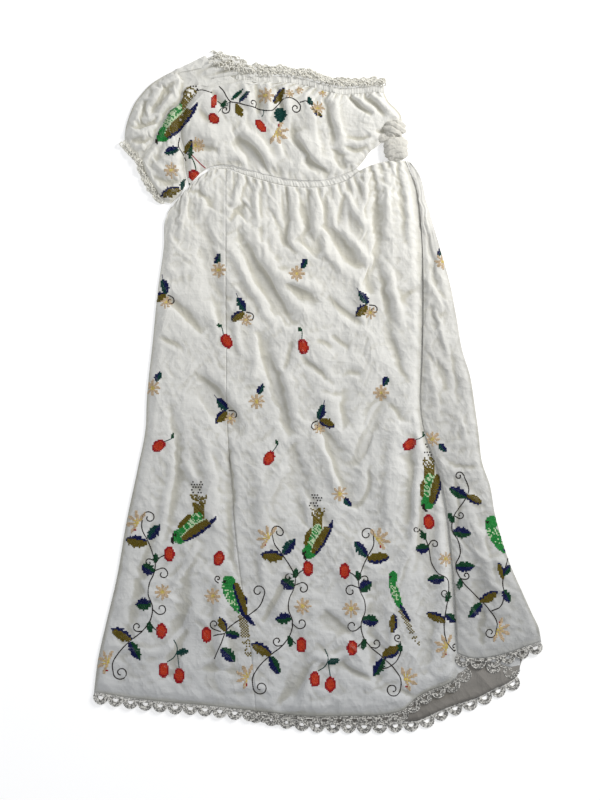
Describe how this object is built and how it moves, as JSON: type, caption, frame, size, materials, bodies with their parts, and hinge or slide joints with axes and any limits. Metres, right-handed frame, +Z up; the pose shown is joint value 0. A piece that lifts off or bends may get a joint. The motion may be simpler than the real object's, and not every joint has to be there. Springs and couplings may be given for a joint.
{
  "type": "peasant dress laid flat",
  "caption": "Long gathered cotton dress laid flat, with one puff sleeve, a side tie, cross-stitch and crochet scallops along its hem.",
  "frame": {"origin": "on the surface that the dress lies on, under the middle of its box", "axes": "+Y from the hem to the neck, +X to the right of the dress as it is seen from above, +Z up off the surface"},
  "size_m": [0.804, 1.2311, 0.017],
  "materials": {
    "cotton": "plain woven cotton with soft creases",
    "crochet": "crocheted cotton thread",
    "tie_cotton": "folded and knotted cotton band"
  },
  "bodies": {
    "root": {"skirt_back": "cotton", "skirt_back_turn": "cotton", "skirt_front": "cotton", "skirt_side": "cotton", "pleat_underlay": "cotton", "waist_casing": "cotton", "bodice_front": "cotton", "bodice_back": "cotton", "neck_casing": "cotton", "sleeve_front": "cotton", "sleeve_fold": "cotton", "sleeve_back": "cotton", "neck_lace_front": "crochet", "neck_lace_back": "crochet", "sleeve_lace": "crochet", "hem_lace_front": "crochet", "hem_lace_back": "crochet", "hem_lace_side": "crochet", "hem_lace_underlay": "crochet", "tie_wrap": "tie_cotton", "tie_knot": "tie_cotton"}
  },
  "joints": []
}
